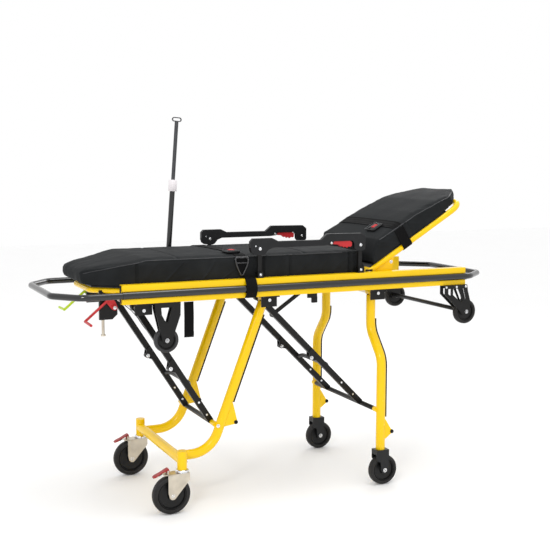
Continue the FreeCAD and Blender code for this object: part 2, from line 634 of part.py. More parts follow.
# ---------------------------------------------------------------- side guards
ARM = [(-187, 1000), (-187, 1030), (-176, 1041), (-95, 1041), (-68, 1028), (118, 1027), (146, 1050),
       (300, 1048), (318, 1034), (318, 986), (310, 978), (278, 978), (268, 988), (266, 1010), (258, 1019),
       (175, 1019), (169, 1007), (138, 1004), (-92, 1004), (-112, 996), (-124, 981), (-134, 976),
       (-170, 978), (-182, 986)]
ARM_HOLLOW = [(-200, 960), (-200, 1003), (-183, 1006), (-183, 1028), (-174, 1037), (-96, 1037),
              (-69, 1024), (120, 1023), (148, 1046), (298, 1044), (314, 1032), (314, 960)]
TRIGGER = [(155, 1010), (158, 1018.5), (250, 1018.5), (258, 1012), (257, 998), (250, 994), (244, 997),
           (236, 991), (229, 997), (221, 993), (215, 999), (207, 997), (196, 1005)]
TRIGGER_PIN = (163, 1013)
hinge_blocks = []
for side, sign in SIDES:
    line = sign * dim("guard_lateral")
    for where in ("guard_front_x", "guard_rear_x"):
        base = box("%s - 15" % where, line - 13.7, "rail_bottom + rail_height", 30, 27.4, 3)
        cheeks = [box("%s - 11" % where, line + start, "rail_bottom + rail_height", 22, 3.5, 24)
                  for start in (-13.7, 10.2)]
        pin = rod("y", where, line - 13.7, "guard_pivot_level", "guard_pin", 27.4)
        hinge_blocks.append(fuse(base, *cheeks, pin))
        low = line - dim("guard_post_half")
        top = "guard_pivot_level + guard_post"
        shank = box("%s - guard_eye" % where, low, "guard_pivot_level", "2 * guard_eye",
                    "2 * guard_post_half", "guard_post")
        eyes = [rod("y", where, low, level, "guard_eye", "2 * guard_post_half")
                for level in ("guard_pivot_level", top)]
        holes = [rod("y", where, low - 1, level, "guard_pin + running_gap", 12)
                 for level in ("guard_pivot_level", top)]
        place = "front" if where == "guard_front_x" else "rear"
        keep(cut(fuse(shank, *eyes), *holes), "guard_%s_post_%s" % (place, side))
    cover = pad("XZ", line - 9.5, 19, ARM)
    hollow = pad("XZ", line - 6, 12, ARM_HOLLOW)
    pins = [rod("y", where, line - 9.5, "guard_pivot_level + guard_post", "guard_pin", 19)
            for where in ("guard_front_x", "guard_rear_x")]
    pins.append(rod("y", TRIGGER_PIN[0], line - 9.5, TRIGGER_PIN[1], 2.2, 19))
    keep(fuse(cut(cover, hollow), *pins), "guard_arm_" + side)
    trigger = pad("XZ", line - 5, 10, TRIGGER)
    keep(cut(trigger, rod("y", TRIGGER_PIN[0], line - 6, TRIGGER_PIN[1], 2.5, 12)), "guard_trigger_" + side)

# ---------------------------------------------------------------- infusion pole
pole_foot = (dim("pole_x"), dim("pole_foot_level"), dim("pole_lean"))


def on_pole(item):
    x, level, lean = pole_foot
    return tilted(x, level, lean, item, dim("pole_lateral"))


block = box("pole_x - 20", "pole_lateral - 17", "rail_bottom + rail_height", 40, 34, 26)
keep(cut(block, on_pole(group(rod("z", 0, 0, 0, "pole_lower_radius", 60)))), "pole_socket")
lower_tube = fuse(rod("z", 0, 0, 0, "pole_lower_radius", "pole_lower_length"),
                  rod("z", 0, 0, "pole_lower_length - 10", 17, 45))
keep(on_pole(cut(lower_tube, rod("z", 0, 0, -1, "pole_upper_radius + 0.4", "pole_lower_length + 40"))),
     "pole_lower_tube")
shaft = cut(rod("z", 0, 0, "pole_lower_length - pole_insert", "pole_upper_radius",
                "pole_top - 8 - pole_lower_length + pole_insert"),
            rod("z", 0, 0, "pole_lower_length - pole_insert - 1", "pole_upper_radius - 1.5",
                "pole_top - 12 - pole_lower_length + pole_insert"))
outer_loop = fuse(rod("y", -11.5, -3, "pole_top", 9.5, 6), rod("y", 11.5, -3, "pole_top", 9.5, 6),
                  box(-11.5, -3, "pole_top - 9.5", 23, 6, 19))
inner_loop = fuse(rod("y", -11.5, -4, "pole_top", 5.5, 8), rod("y", 11.5, -4, "pole_top", 5.5, 8),
                  box(-11.5, -4, "pole_top - 5.5", 23, 8, 11))
keep(on_pole(cut(fuse(shaft, outer_loop), inner_loop)), "pole_upper_tube")

# ---------------------------------------------------------------- backrest
hinge_x = dim("back_hinge_x")
hinge_z = dim("back_hinge_level")


def on_back(item):
    """Lay an object drawn flat at the hinge onto the raised backrest."""
    return tilted(hinge_x, hinge_z, -dim("back_angle"), item)


blocks = []
for side, sign in SIDES:
    near = 245.5 if sign > 0 else -250
    plate = box("back_hinge_x - 16", near, "back_hinge_level - 30", 32, 4.5, 46)
    pin = rod("y", "back_hinge_x", min(sign * 222, sign * 250), "back_hinge_level", 8, 28)
    blocks.append(fuse(plate, pin))
keep(group(*blocks, *hinge_blocks), "hinge_blocks")

BACK_PLATE = [(-4, -11), (20, -16), (104, -54), (126, -30), (142, -8), (142, 4), (0, 4)]
line = dim("back_lateral")
end = dim("back_length")
tube = bent("XY", 0, [(8, -line), (end, -line), (end, line), (8, line)], (70, 70), "back_tube_radius",
            "back_tube_bore")
extras = []
bores = []
for side, sign in SIDES:
    extras.append(rod("y", 0, sign * line - 10 if sign < 0 else sign * line - 8, 0, 15, 18))
    extras.append(pad("XZ", sign * line - 3, 6, BACK_PLATE))
    bores.append(rod("y", 0, sign * line - 15, 0, "8 + running_gap", 30))
keep(on_back(cut(fuse(tube, *extras), *bores)), "back_frame")
keep(on_back(group(box(22, -236, "back_tube_radius", 430, 472, 3))), "back_panel")

PAD_SIDE = [(30, 16), (592, 16), (600, 24), (590, 33), (520, 52), (430, 74), (320, 88),
            (262, "16 + back_pad_thickness"), (108, "16 + back_pad_thickness")]
PAD_PLAN = [(20, "-back_pad_half_width"), (430, "-back_pad_half_width"), (508, -222), (570, -150),
            (600, -100), (600, 100), (570, 150), (508, 222), (430, "back_pad_half_width"),
            (20, "back_pad_half_width")]
whole = doc.addObject("Part::Common", "PadShape")
whole.Base = pad("XZ", "-back_pad_half_width", "2 * back_pad_half_width", PAD_SIDE)
whole.Tool = pad("XY", 10, 100, PAD_PLAN)
keep(on_back(group(whole)), "mattress_back")

SEAT_SIDE = [("mattress_foot + 45", "mattress_level"), (332, "mattress_level"), (332, 905),
             (298, "mattress_level + mattress_thickness"), (-590, "mattress_level + mattress_thickness"),
             (-668, 960), ("mattress_foot + 12", 935), ("mattress_foot", 926),
             ("mattress_foot + 4", 892), ("mattress_foot + 16", 883)]
SEAT_PLAN = [("mattress_foot", -138), (-640, "-mattress_half_width"), (340, "-mattress_half_width"),
             (340, "mattress_half_width"), (-640, "mattress_half_width"), ("mattress_foot", 138)]
whole = doc.addObject("Part::Common", "PadShape")
whole.Base = pad("XZ", "-mattress_half_width", "2 * mattress_half_width", SEAT_SIDE)
whole.Tool = pad("XY", "mattress_level - 5", 120, SEAT_PLAN)
keep(whole, "mattress_seat")

# ---------------------------------------------------------------- straps and buckles
LAP_BAND = [(-252, 812), (-303, 812), (-303, 891), (-254, 891), (-254, 980), (254, 980), (254, 891),
            (303, 891), (303, 812), (252, 812), (252, 814), (301, 814), (301, 889), (252, 889),
            (252, 978), (-252, 978), (-252, 889), (-301, 889), (-301, 814), (-252, 814)]
CHEST_BAND = [(-249, -16), (-249, 95), (249, 95), (249, -16), (215, -16), (215, -14), (247, -14),
              (247, 93), (-247, 93), (-247, -14), (-215, -14), (-215, -16)]
tail = box(-457, -271, 678, 38, 2.5, 138)
keep(group(pad("YZ", "lap_strap_x", "strap_width", LAP_BAND), tail), "lap_strap")
keep(on_back(group(pad("YZ", 190, "strap_width", CHEST_BAND))), "chest_strap")


def buckle(x, y, level):
    """A flat buckle with a well for its button, and the button."""
    shell = cut(box(x, y, level, 58, 66, 12), box(x + 18, y + 20, level + 6, 22, 26, 7))
    button = box(x + 18.5, y + 20.5, level + 8.5, 21, 25, 5)
    return shell, button


shell, button = buckle(-262, -212, 980.2)
keep(shell, "lap_buckle")
keep(button, "lap_buckle_button")
shell, button = buckle(150, -150, 95.2)
keep(on_back(group(shell)), "chest_buckle")
keep(on_back(group(button)), "chest_buckle_button")

# ---------------------------------------------------------------- check and write
doc.recompute()
failed = [item.Name for item in doc.Objects if "Invalid" in item.State or "Error" in item.State]
if failed:
    raise RuntimeError("objects not built: " + ", ".join(failed))
labels = [item.Label for item in sub_parts]
if len(set(labels)) != len(labels):
    raise RuntimeError("two sub-parts share a label")
os.makedirs("parts", exist_ok=True)
for item in sub_parts:
    shape = item.Shape
    if shape.isNull() or not shape.isValid() or not shape.Solids:
        raise RuntimeError("bad shape: " + item.Label)
    shape.exportStep("parts/%s.step" % item.Label)
print("%d sub-parts written" % len(sub_parts))
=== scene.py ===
"""Looks of the stretcher trolley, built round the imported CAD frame.

Metres, +X towards the head end, +Y towards the far (right) side, +Z up.
"""
import math

import bmesh
import bpy
from mathutils import Matrix, Vector, noise
from mathutils.bvhtree import BVHTree


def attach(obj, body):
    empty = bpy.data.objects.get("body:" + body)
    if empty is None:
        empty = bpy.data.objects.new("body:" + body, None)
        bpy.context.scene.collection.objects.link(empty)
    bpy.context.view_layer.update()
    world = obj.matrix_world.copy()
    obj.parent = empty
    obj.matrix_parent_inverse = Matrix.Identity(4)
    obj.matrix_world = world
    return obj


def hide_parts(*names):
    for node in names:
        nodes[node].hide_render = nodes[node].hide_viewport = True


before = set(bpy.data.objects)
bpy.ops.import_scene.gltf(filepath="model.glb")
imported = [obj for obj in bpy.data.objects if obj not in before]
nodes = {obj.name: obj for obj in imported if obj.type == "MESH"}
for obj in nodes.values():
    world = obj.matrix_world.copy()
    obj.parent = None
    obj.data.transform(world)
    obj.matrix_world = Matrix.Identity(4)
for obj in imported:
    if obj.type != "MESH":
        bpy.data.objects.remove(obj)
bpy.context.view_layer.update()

scene = bpy.context.scene

SIDES = (("left", -1), ("right", 1))
MM = 0.001

# places that several pieces share, in millimetres
STEM_X, CASTER_LINE = -470, 266
CASTER_AXLE_X, CASTER_RADIUS = -515, 75
HEAD_WHEEL_X, HEAD_WHEEL_LINE, HEAD_WHEEL_RADIUS = 401, 291, 62.5
LOADING_X, LOADING_LINE, LOADING_LEVEL = 801, 281, 700
TRANSIT_X, TRANSIT_LINE, TRANSIT_LEVEL = -529, -270, 673
GUARD_LINE, GUARD_FRONT_X, GUARD_REAR_X = 268, -147, 296
GUARD_LOW, GUARD_HIGH = 901, 1001
BRACE_LINES = (-145, 145)
BACK_HINGE_X, BACK_HINGE_LEVEL, BACK_ANGLE = 352, 880, 31
PEDAL_HINGE = (-530, 169)
RAIL_ENDS, RAIL_MIDDLE, RAIL_LEVEL = (-698.5, 802.5), 261.5, 852


def at(x, y, z):
    """A point given in millimetres."""
    return Vector((x, y, z)) * MM


# ------------------------------------------------------------------ camera, floor and light
CAMERA_PLACE = (-1.717, -3.826, 1.346)
CAMERA_YAW = math.radians(24.703)
CAMERA_PITCH = math.radians(6.559)
CAMERA_LENS = 66.24

camera = bpy.data.objects.new("camera", bpy.data.cameras.new("camera"))
scene.collection.objects.link(camera)
camera.location = CAMERA_PLACE
sight = Vector((math.sin(CAMERA_YAW) * math.cos(CAMERA_PITCH),
                math.cos(CAMERA_YAW) * math.cos(CAMERA_PITCH), -math.sin(CAMERA_PITCH)))
camera.rotation_mode = "QUATERNION"
camera.rotation_quaternion = sight.to_track_quat("-Z", "Y")
camera.data.lens = CAMERA_LENS
camera.data.sensor_width = 36
camera.data.clip_start = 0.05
camera.data.clip_end = 60
scene.camera = camera
scene.view_settings.view_transform = "Standard"

world = bpy.data.worlds.new("studio")
scene.world = world
world.use_nodes = True
surround = world.node_tree.nodes["Background"]
surround.inputs["Color"].default_value = (1.0, 1.0, 1.0, 1)
surround.inputs["Strength"].default_value = 1.0


def area_light(name, place, target, size, power, colour=(1, 1, 1)):
    light = bpy.data.lights.new(name, "AREA")
    light.shape = "RECTANGLE"
    light.size, light.size_y = size
    light.energy = power
    light.color = colour
    lamp = bpy.data.objects.new(name, light)
    scene.collection.objects.link(lamp)
    lamp.location = place
    lamp.rotation_mode = "QUATERNION"
    lamp.rotation_quaternion = (Vector(target) - Vector(place)).to_track_quat("-Z", "Y")


area_light("key", (-2.4, -3.0, 2.9), (0, 0, 0.7), (0.8, 0.6), 34, (1.0, 0.99, 0.97))
area_light("top", (0.3, -0.4, 3.2), (0, 0, 0.6), (1.6, 1.2), 24)
area_light("rim", (2.6, 2.4, 2.6), (0.2, 0, 0.8), (1.4, 1.0), 16)


# ------------------------------------------------------------------ materials
class Shader:
    """A material with one principled surface and helpers that add nodes to it."""

    def __init__(self, name):
        self.material = bpy.data.materials.new(name)
        self.material.use_nodes = True
        self.tree = self.material.node_tree
        self.body = self.tree.nodes["Principled BSDF"]
        self.place = self.add("ShaderNodeTexCoord").outputs["Object"]

    def add(self, kind, settings=None, **inputs):
        made = self.tree.nodes.new(kind)
        for key, value in (settings or {}).items():
            setattr(made, key, value)
        for key, value in inputs.items():
            self.put(made.inputs[key.replace("_", " ")], value)
        return made

    def put(self, socket, value):
        if isinstance(value, bpy.types.NodeSocket):
            self.tree.links.new(value, socket)
        else:
            socket.default_value = value

    def noise(self, scale, detail=3.0, stretch=None, rough=0.5):
        place = self.place
        if stretch:
            place = self.add("ShaderNodeMapping", Vector=place, Scale=stretch).outputs[0]
        return self.add("ShaderNodeTexNoise", Vector=place, Scale=scale, Detail=detail,
                        Roughness=rough).outputs[0]

    def spread(self, value, low, high, start=0.3, end=0.7):
        """Map a value between start and end on to low to high."""
        made = self.add("ShaderNodeMapRange")
        self.put(made.inputs["Value"], value)
        for key, number in (("From Min", start), ("From Max", end), ("To Min", low), ("To Max", high)):
            made.inputs[key].default_value = number
        return made.outputs[0]

    def mix(self, factor, first, second):
        made = self.add("ShaderNodeMix", {"data_type": "RGBA"})
        self.put(made.inputs[0], factor)
        self.put(made.inputs[6], first)
        self.put(made.inputs[7], second)
        return made.outputs[2]

    def maths(self, operation, first, second=0.0):
        made = self.add("ShaderNodeMath", {"operation": operation})
        self.put(made.inputs[0], first)
        self.put(made.inputs[1], second)
        return made.outputs[0]

    def bump(self, height, depth, strength=1.0, normal=None):
        made = self.add("ShaderNodeBump", Height=height, Distance=depth, Strength=strength)
        if normal is not None:
            self.put(made.inputs["Normal"], normal)
        return made.outputs[0]

    def finish(self, **inputs):
        for key, value in inputs.items():
            self.put(self.body.inputs[key.replace("_", " ")], value)
        return self.material


def shade(colour, factor):
    return tuple(c * factor for c in colour[:3]) + (1,)


def paint(name, colour, rough, grain=1400, depth=0.00006, blotch=9, vary=0.12,
          dust=None, specular=0.5):
    """Painted, plated or moulded surface: colour drift, patchy gloss and a fine skin texture."""
    made = Shader(name)
    drift = made.noise(blotch, 4)
    base = made.mix(made.spread(drift, 0, 1), shade(colour, 1 - vary), shade(colour, 1 + vary))
    if dust:
        speck = made.spread(made.noise(60, 6), 0, 0.35, 0.52, 0.8)
        base = made.mix(speck, base, (*dust, 1))
    gloss = made.spread(made.noise(blotch * 6, 5), rough - 0.06, rough + 0.08)
    skin = made.bump(made.noise(grain, 2), depth, 0.6)
    return made.finish(Base_Color=base, Roughness=gloss, Normal=skin, Specular_IOR_Level=specular)


def metal(name, colour, rough, scratch=220):
    """Plated metal with fine directional scratches and patchy tarnish."""
    made = Shader(name)
    lines = made.noise(scratch, 4, (1, 1, 14))
    patch = made.noise(24, 5)
    base = made.mix(made.spread(patch, 0, 1, 0.35, 0.75), shade(colour, 1), shade(colour, 0.78))
    gloss = made.spread(lines, rough - 0.07, rough + 0.12)
    return made.finish(Base_Color=base, Roughness=gloss, Metallic=1.0,
                       Normal=made.bump(lines, 0.00003, 0.5))


def cloth(name, colour, pitch, depth, rough, sheen=0.25, ribs=False, crease=0.0, specular=0.5):
    """Woven fabric: crossing threads, or ribs along a strap, with soft colour drift."""
    made = Shader(name)
    turns = 1.0 / pitch
    heights = []
    for axis in ("X", "Y", "Z"):
        thread = made.add("ShaderNodeTexWave", {"bands_direction": axis}, Vector=made.place,
                          Scale=turns / 20.0, Distortion=1.5, Detail=1.0)
        heights.append(thread.outputs["Fac"])
    weave = made.maths("ADD", made.maths("ADD", heights[0], heights[1]), heights[2])
    if ribs:
        weave = made.maths("ADD", weave, made.maths("MULTIPLY", heights[0], 2.0))
    drift = made.noise(14, 5)
    base = made.mix(made.spread(drift, 0, 1), shade(colour, 0.8), shade(colour, 1.25))
    normal = made.bump(weave, depth, 0.5)
    if crease:
        folds = made.noise(38, 4, (1, 1, 0.6), 0.62)
        normal = made.bump(folds, crease, 0.5, normal)
    return made.finish(Base_Color=base, Roughness=made.spread(drift, rough - 0.05, rough + 0.07),
                       Normal=normal, Sheen_Weight=sheen, Sheen_Roughness=0.5,
                       Specular_IOR_Level=specular)


YELLOW = paint("yellow_paint", (0.9, 0.575, 0.0), 0.2, grain=900, depth=0.00003, blotch=5,
               vary=0.04, specular=0.34)
BLACK_TUBE = paint("black_tube", (0.004, 0.0045, 0.005), 0.13, grain=1100, depth=0.00003,
                   dust=(0.01, 0.01, 0.011), specular=0.7)
BLACK_PAINT = paint("black_powder", (0.006, 0.0058, 0.0056), 0.36, grain=1500, depth=0.0001,
                    dust=(0.014, 0.0135, 0.013), specular=0.26)
PLASTIC = paint("black_plastic", (0.008, 0.0085, 0.0095), 0.38, grain=2200, depth=0.00012, blotch=14,
                dust=(0.018, 0.018, 0.02), specular=0.3)
RUBBER = paint("rubber_trim", (0.004, 0.004, 0.004), 0.6, grain=1600, depth=0.00012, vary=0.25,
               dust=(0.012, 0.012, 0.012), specular=0.2)
TYRE = paint("tyre", (0.013, 0.012, 0.0115), 0.5, grain=1300, depth=0.00015, vary=0.3,
             dust=(0.045, 0.042, 0.04), specular=0.3)
GREY_TYRE = paint("grey_tyre", (0.03, 0.03, 0.032), 0.5, grain=1300, depth=0.00015, vary=0.25,
                  dust=(0.06, 0.06, 0.062), specular=0.3)
DISC = paint("wheel_disc", (0.006, 0.006, 0.006), 0.34, grain=1200, depth=0.00008, vary=0.2,
             dust=(0.018, 0.018, 0.018), specular=0.28)
RED = paint("red_plastic", (0.52, 0.022, 0.026), 0.36, grain=1500, depth=0.00006, vary=0.12,
            specular=0.35)
PEDAL_RED = paint("pedal_red", (0.34, 0.03, 0.028), 0.42, grain=1300, depth=0.0001, vary=0.18,
                  dust=(0.42, 0.1, 0.09), specular=0.35)
LIME = paint("lime_plastic", (0.5, 0.68, 0.01), 0.36, grain=1500, depth=0.00006, vary=0.1,
             specular=0.35)
WHITE = paint("white_plastic", (0.8, 0.76, 0.78), 0.45, vary=0.04)
GREY = paint("grey_grip", (0.035, 0.034, 0.035), 0.4, grain=1600, depth=0.00015, vary=0.2)
ZINC = metal("zinc", (0.66, 0.6, 0.5), 0.34)
CHROME = metal("chrome", (0.85, 0.86, 0.88), 0.14, scratch=160)
DARK_STEEL = metal("dark_steel", (0.085, 0.087, 0.092), 0.34)
MATTRESS = cloth("mattress_cover", (0.0135, 0.0148, 0.0158), 0.0011, 0.00008, 0.66, sheen=0.0,
                 crease=0.0006, specular=0.08)
WEBBING = cloth("webbing", (0.003, 0.003, 0.0033), 0.0022, 0.00035, 0.7, sheen=0.0, ribs=True,
                specular=0.1)
THREAD = cloth("thread", (0.014, 0.015, 0.018), 0.0006, 0.0001, 0.5, sheen=0.1)

CAD_LOOKS = {
    "side_rail_left": YELLOW, "side_rail_right": YELLOW, "bumper_tubes": BLACK_TUBE,
    "head_loop": BLACK_TUBE, "foot_handle": BLACK_TUBE, "deck_frame": YELLOW,
    "deck_panel": PLASTIC, "cross_members": BLACK_PAINT, "pivot_shafts": ZINC,
    "pivot_brackets": BLACK_PAINT, "frame_bolts": CHROME, "loading_wheel_brackets": BLACK_PAINT,
    "transit_wheel_bracket": BLACK_PAINT, "lever_plates": BLACK_PAINT, "docking_pin": ZINC,
    "red_lever": RED, "green_lever": LIME, "foot_leg_tubes": YELLOW, "foot_leg_beam": YELLOW,
    "foot_leg_trim": RUBBER, "head_leg_tubes": YELLOW, "head_leg_trim": RUBBER,
    "head_leg_forks": PLASTIC, "foot_brace_upper": BLACK_PAINT, "foot_brace_lower": BLACK_PAINT,
    "head_brace_upper": BLACK_PAINT, "head_brace_lower": BLACK_PAINT,
    "pole_socket": PLASTIC, "pole_lower_tube": BLACK_TUBE, "pole_upper_tube": DARK_STEEL,
    "hinge_blocks": BLACK_PAINT, "back_frame": YELLOW, "back_panel": PLASTIC,
}
for side, sign in SIDES:
    for name, look in (("caster_fork_", ZINC), ("caster_pedal_", RED), ("guard_front_post_", BLACK_PAINT),
                       ("guard_rear_post_", BLACK_PAINT), ("guard_arm_", PLASTIC), ("guard_trigger_", RED)):
        CAD_LOOKS[name + side] = look
for name, look in CAD_LOOKS.items():
    for material_slot in nodes[name].material_slots:
        material_slot.material = look

# small edge rounding on the parts cut from plate and bar
ROUNDED = {"guard_arm_left": 1.6, "guard_arm_right": 1.6, "guard_trigger_left": 1.4,
           "guard_trigger_right": 1.4, "head_leg_forks": 1.2, "caster_fork_left": 0.8,
           "caster_fork_right": 0.8, "pivot_brackets": 0.9, "hinge_blocks": 0.6,
           "loading_wheel_brackets": 0.7, "transit_wheel_bracket": 0.6, "lever_plates": 1.2,
           "foot_brace_upper": 0.8, "foot_brace_lower": 0.8, "head_brace_upper": 0.8,
           "head_brace_lower": 0.8, "foot_leg_tubes": 0.8, "head_leg_tubes": 0.8,
           "pole_socket": 2.0, "side_rail_left": 0.9, "side_rail_right": 0.9, "deck_panel": 1.0,
           "foot_leg_trim": 1.2, "head_leg_trim": 1.2, "docking_pin": 0.8, "back_frame": 0.8}
for name, width in ROUNDED.items():
    weld = nodes[name].modifiers.new("weld", "WELD")
    weld.merge_threshold = 0.00002
    edge = nodes[name].modifiers.new("edge", "BEVEL")
    edge.width = width * MM
    edge.segments = 2
    edge.limit_method = "ANGLE"
    edge.angle_limit = math.radians(40)
    edge.harden_normals = False


# ------------------------------------------------------------------ mesh building
def finish_piece(made, look, body, turn=35):
    """Give a new object its material, body and shading."""
    if look:
        made.data.materials.clear()
        made.data.materials.append(look)
    if made.type == "MESH":
        for face in made.data.polygons:
            face.use_smooth = True
        sharp = math.radians(turn)
        work = bmesh.new()
        work.from_mesh(made.data)
        for edge in work.edges:
            if len(edge.link_faces) == 2 and edge.calc_face_angle(0) > sharp:
                edge.smooth = False
        work.to_mesh(made.data)
        work.free()
    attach(made, body)
    return made


def new_object(name, data):
    made = bpy.data.objects.new(name, data)
    scene.collection.objects.link(made)
    return made


def mesh_from(name, work):
    mesh = bpy.data.meshes.new(name)
    bmesh.ops.recalc_face_normals(work, faces=work.faces)
    work.to_mesh(mesh)
    work.free()
    return new_object(name, mesh)


def add_lathe(work, profile, matrix, steps=40, closed=True):
    """Turn (radius, height) points about Z and place the result with a matrix."""
    rings = []
    for radius, height in profile:
        if radius < 1e-7:
            rings.append([work.verts.new(matrix @ Vector((0, 0, height)))])
            continue
        rings.append([work.verts.new(matrix @ Vector((radius * math.cos(2 * math.pi * k / steps),
                                                      radius * math.sin(2 * math.pi * k / steps),
                                                      height))) for k in range(steps)])
    pairs = list(zip(rings, rings[1:]))
    if closed:
        pairs.append((rings[-1], rings[0]))
    for low, high in pairs:
        for k in range(steps):
            j = (k + 1) % steps
            corners = [low[k % len(low)], low[j % len(low)], high[j % len(high)], high[k % len(high)]]
            unique = list(dict.fromkeys(corners))
            if len(unique) > 2:
                work.faces.new(unique)


def facing(place, direction):
    """A matrix that puts local Z along a direction at a place."""
    turn = Vector(direction).normalized().to_track_quat("Z", "Y").to_matrix().to_4x4()
    return Matrix.Translation(Vector(place)) @ turn


def bolt_profile(radius, height):
    """Washer and domed head with a recessed socket, as (radius, height)."""
    r, h = radius * MM, height * MM
    return [(0, -0.0004), (1.45 * r, -0.0004), (1.45 * r, 0.0008), (1.38 * r, 0.0011), (1.02 * r, 0.0011),
            (r, 0.0014), (0.97 * r, 0.55 * h), (0.8 * r, 0.88 * h), (0.55 * r, h), (0.42 * r, h),
            (0.38 * r, 0.92 * h), (0.36 * r, 0.5 * h), (0, 0.5 * h)]


def bolts(name, body, places, look=CHROME):
    """One object of several bolt heads: (place, direction, radius, height)."""
    work = bmesh.new()
    for place, direction, radius, height in places:
        add_lathe(work, bolt_profile(radius, height), facing(place, direction), 20, closed=False)
    return finish_piece(mesh_from(name, work), look, body, turn=28)


def add_block(work, matrix, size, rounding, steps=2):
    """A box with rounded edges."""
    made = bmesh.ops.create_cube(work, size=1.0)
    scale = Matrix.Diagonal((*[s * MM for s in size], 1))
    bmesh.ops.transform(work, matrix=scale, verts=made["verts"])
    edges = list({edge for vert in made["verts"] for edge in vert.link_edges})
    result = bmesh.ops.bevel(work, geom=edges, offset=rounding * MM, segments=steps, profile=0.5,
                             affect="EDGES")
    verts = list({vert for face in result["faces"] for vert in face.verts} | {
        vert for vert in made["verts"] if vert.is_valid})
    island = set()
    front = verts
    while front:
        vert = front.pop()
        if vert in island:
            continue
        island.add(vert)
        front += [edge.other_vert(vert) for edge in vert.link_edges]
    bmesh.ops.transform(work, matrix=matrix, verts=list(island))
    return list(island)


def add_plate(work, outline, thickness, matrix, rounding):
    """A flat plate from an outline in millimetres, its edges rounded."""
    levels = (-thickness / 2, thickness / 2)
    low, high = [[work.verts.new(at(u, v, level)) for u, v in outline] for level in levels]
    count = len(outline)
    faces = [work.faces.new(low[::-1]), work.faces.new(high)]
    for k in range(count):
        j = (k + 1) % count
        faces.append(work.faces.new((low[k], low[j], high[j], high[k])))
    rims = [edge for face in faces[:2] for edge in face.edges]
    result = bmesh.ops.bevel(work, geom=rims, offset=rounding * MM, segments=2, profile=0.5, affect="EDGES")
    verts = {vert for vert in low + high if vert.is_valid}
    verts |= {vert for face in result["faces"] for vert in face.verts}
    bmesh.ops.transform(work, matrix=matrix, verts=list(verts))


def curve_tube(name, points, radius, body, look, cyclic=False, steps=6):
    """A smooth tube through the points, as a mesh."""
    data = bpy.data.curves.new(name, "CURVE")
    data.dimensions = "3D"
    spline = data.splines.new("BEZIER")
    spline.bezier_points.add(len(points) - 1)
    for place, knot in zip(points, spline.bezier_points):
        knot.co = place
        knot.handle_left_type = knot.handle_right_type = "AUTO"
    spline.use_cyclic_u = cyclic
    data.bevel_depth = radius * MM
    data.bevel_resolution = 3
    data.resolution_u = steps
    data.use_fill_caps = True
    temporary = new_object(name + "_line", data)
    bpy.context.view_layer.update()
    mesh = bpy.data.meshes.new_from_object(temporary.evaluated_get(bpy.context.evaluated_depsgraph_get()))
    bpy.data.objects.remove(temporary)
    mesh.name = name
    made = new_object(name, mesh)
    return finish_piece(made, look, body, turn=60)


def subdivide(made):
    modifier = made.modifiers.new("smooth", "SUBSURF")
    modifier.levels = modifier.render_levels = 1


def chain(points, spacing, closed=False):
    """Points evenly spaced along straight runs, for a band that is then smoothed."""
    made = []
    pairs = list(zip(points, points[1:])) + ([(points[-1], points[0])] if closed else [])
    for start, end in pairs:
        start, end = Vector(start), Vector(end)
        count = max(1, round((end - start).length / spacing))
        made += [start.lerp(end, k / count) for k in range(count)]
    if not closed:
        made.append(Vector(points[-1]))
    return made


def relax(points, rounds, closed=False):
    """Round the corners of a chain of points."""
    for _ in range(rounds):
        count = len(points)
        fresh = []
        for k, point in enumerate(points):
            if not closed and k in (0, count - 1):
                fresh.append(point.copy())
                continue
            fresh.append(point * 0.5 + (points[k - 1] + points[(k + 1) % count]) * 0.25)
        points = fresh
    return points


def webbing_band(name, points, across, width, thickness, body, closed=False, seed=0, gather=None):
    """A strap: a thin band with selvedge edges following the points, its width along `across`."""
    work = bmesh.new()
    half, thick = width * MM / 2, thickness * MM / 2
    section = [(-1, 0.35), (-0.97, 0.95), (-0.9, 1.0), (-0.86, 0.72), (-0.5, 0.8), (0, 0.84), (0.5, 0.8),
               (0.86, 0.72), (0.9, 1.0), (0.97, 0.95), (1, 0.35)]
    ring = section + [(u, -v) for u, v in reversed(section)]
    across = Vector(across).normalized()
    rings = []
    count = len(points)
    for k, point in enumerate(points):
        before = points[k - 1] if closed or k else points[0]
        after = points[(k + 1) % count] if closed or k < count - 1 else points[-1]
        along = (after - before).normalized()
        out = along.cross(across).normalized()
        sway = 0.0006 * noise.noise(point * 18 + Vector((seed, 0, 0)))
        share = gather(point) if gather else 1.0
        rings.append([work.verts.new(point + across * (u * half * share + sway) + out * (v * thick))
                      for u, v in ring])
    pairs = list(zip(rings, rings[1:])) + ([(rings[-1], rings[0])] if closed else [])
    for low, high in pairs:
        for k in range(len(ring)):
            j = (k + 1) % len(ring)
            work.faces.new((low[k], low[j], high[j], high[k]))
    if not closed:
        work.faces.new(rings[0])
        work.faces.new(rings[-1][::-1])
    return finish_piece(mesh_from(name, work), WEBBING, body, turn=50)


# ------------------------------------------------------------------ wheels
def tyre_profile(radius, width, rim, crown):
    """Tread, shoulders and sidewalls, as (radius, height) with height along the axle."""
    r, half, rim = radius * MM, width * MM / 2, rim * MM
    shoulder = crown * MM
    right = [(rim, half * 0.72), (rim + 0.0012, half * 0.9), (rim + 0.003, half * 0.97),
             (r * 0.8 + 0.001, half), (r * 0.86, half), (r * 0.87, half * 0.965), (r * 0.89, half * 0.965),
             (r * 0.9, half * 0.99), (r - shoulder, half * 0.97), (r - shoulder * 0.45, half * 0.86),
             (r - shoulder * 0.14, half * 0.66), (r - 0.0004, half * 0.42), (r, half * 0.2),
             (r, half * 0.1), (r - 0.0011, half * 0.06)]
    return right + [(a, -h) for a, h in reversed(right)]


